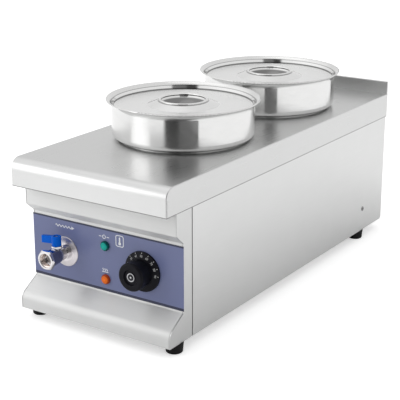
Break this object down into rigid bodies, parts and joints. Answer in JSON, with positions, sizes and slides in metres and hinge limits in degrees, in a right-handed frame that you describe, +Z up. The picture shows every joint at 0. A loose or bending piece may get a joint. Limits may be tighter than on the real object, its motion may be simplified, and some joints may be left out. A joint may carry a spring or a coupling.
{
  "type": "bain marie",
  "caption": "Counter-top bain marie: a narrow steel water bath with round lidded pots, a drain tap, pilot lamps and a thermostat dial on a sloping front.",
  "frame": {"origin": "on the ground under the middle of the overall box", "axes": "+X to the right seen from the front, +Y from the control panel to the rear, +Z up"},
  "size_m": [0.24, 0.6238, 0.2727],
  "materials": {
    "worktop_steel": "brushed along the length",
    "body_steel": "satin, fine grain along the length",
    "tank_steel": "pickled, dull",
    "pot_steel": "polished stainless steel",
    "fixing_steel": "bright zinc",
    "tap_chrome": "chrome-plated brass",
    "ball_chrome": "polished",
    "seat_plastic": "white seat ring",
    "pipe_brass": "drawn tube",
    "element_sheath": "dark oxidised sheath",
    "bulb_copper": "drawn copper",
    "overlay_blue": "satin slate-blue print",
    "knob_black": "moulded, slight sheen",
    "knob_silver": "turned",
    "lever_blue": "dipped, glossy",
    "lens_green": "clear moulded lens",
    "lens_orange": "clear moulded lens",
    "lamp_plastic": "moulded",
    "case_plastic": "moulded, heat resistant",
    "lead_sleeve": "silicone sleeve",
    "gland_plastic": "moulded",
    "gasket_rubber": "silicone rubber",
    "foot_rubber": "moulded rubber"
  },
  "bodies": {
    "cabinet": {"worktop": "worktop_steel", "front_fascia": "body_steel", "left_cheek": "body_steel", "right_cheek": "body_steel", "left_side_panel": "body_steel", "right_side_panel": "body_steel", "rear_panel": "body_steel", "base_tray": "body_steel", "control_overlay": "overlay_blue", "side_screws": "fixing_steel", "rear_screws": "fixing_steel", "foot_screws": "fixing_steel", "foot_nuts": "fixing_steel", "thermostat_screws": "fixing_steel", "lamp_nuts": "fixing_steel", "element_nuts": "fixing_steel", "bonding_stud": "fixing_steel", "bonding_nuts": "fixing_steel", "feet": "foot_rubber", "water_tank": "tank_steel", "element_supports": "tank_steel", "bulb_clip": "tank_steel", "heating_element": "element_sheath", "element_bushes": "pipe_brass", "element_gaskets": "gasket_rubber", "thermostat_bulb": "bulb_copper", "capillary_gland": "pipe_brass", "boil_dry_cutout": "case_plastic", "drain_pipe": "pipe_brass", "tap_lock_nut": "pipe_brass", "tap_flange": "tap_chrome", "valve_body": "tap_chrome", "stem_nut": "tap_chrome", "ball_seats": "seat_plastic", "thermostat_body": "case_plastic", "power_lamp_lens": "lens_green", "heat_lamp_lens": "lens_orange", "power_lamp_body": "lamp_plastic", "heat_lamp_body": "lamp_plastic", "terminal_block": "case_plastic", "internal_leads": "lead_sleeve", "cable_gland": "gland_plastic", "gland_nut": "gland_plastic"},
    "front_pot_body": {"front_pot": "pot_steel"},
    "rear_pot_body": {"rear_pot": "pot_steel"},
    "front_lid_body": {"front_lid": "pot_steel", "front_lid_knob": "pot_steel"},
    "rear_lid_body": {"rear_lid": "pot_steel", "rear_lid_knob": "pot_steel"},
    "thermostat_control": {"thermostat_knob": "knob_black", "knob_disc": "knob_silver", "thermostat_spindle": "fixing_steel"},
    "tap_handle": {"tap_lever": "lever_blue", "lever_screw": "fixing_steel", "valve_stem": "ball_chrome", "valve_ball": "ball_chrome"}
  },
  "joints": [
    {"name": "front_pot_lift", "type": "slide", "parent": "cabinet", "child": "front_pot_body", "axis": [0, 0, 1], "range_m": [0, 0.2]},
    {"name": "rear_pot_lift", "type": "slide", "parent": "cabinet", "child": "rear_pot_body", "axis": [0, 0, 1], "range_m": [0, 0.2]},
    {"name": "front_lid_lift", "type": "slide", "parent": "front_pot_body", "child": "front_lid_body", "axis": [0, 0, 1], "range_m": [0, 0.08]},
    {"name": "rear_lid_lift", "type": "slide", "parent": "rear_pot_body", "child": "rear_lid_body", "axis": [0, 0, 1], "range_m": [0, 0.08]},
    {"name": "thermostat_turn", "type": "hinge", "parent": "cabinet", "child": "thermostat_control", "pos_m": [0.0584, -0.2869, 0.0934], "axis": [0, 1, 0], "range_deg": [0, 270]},
    {"name": "tap_turn", "type": "hinge", "parent": "cabinet", "child": "tap_handle", "pos_m": [-0.065, -0.2889, 0.109], "axis": [0, 0, 1], "range_deg": [0, 90]}
  ]
}
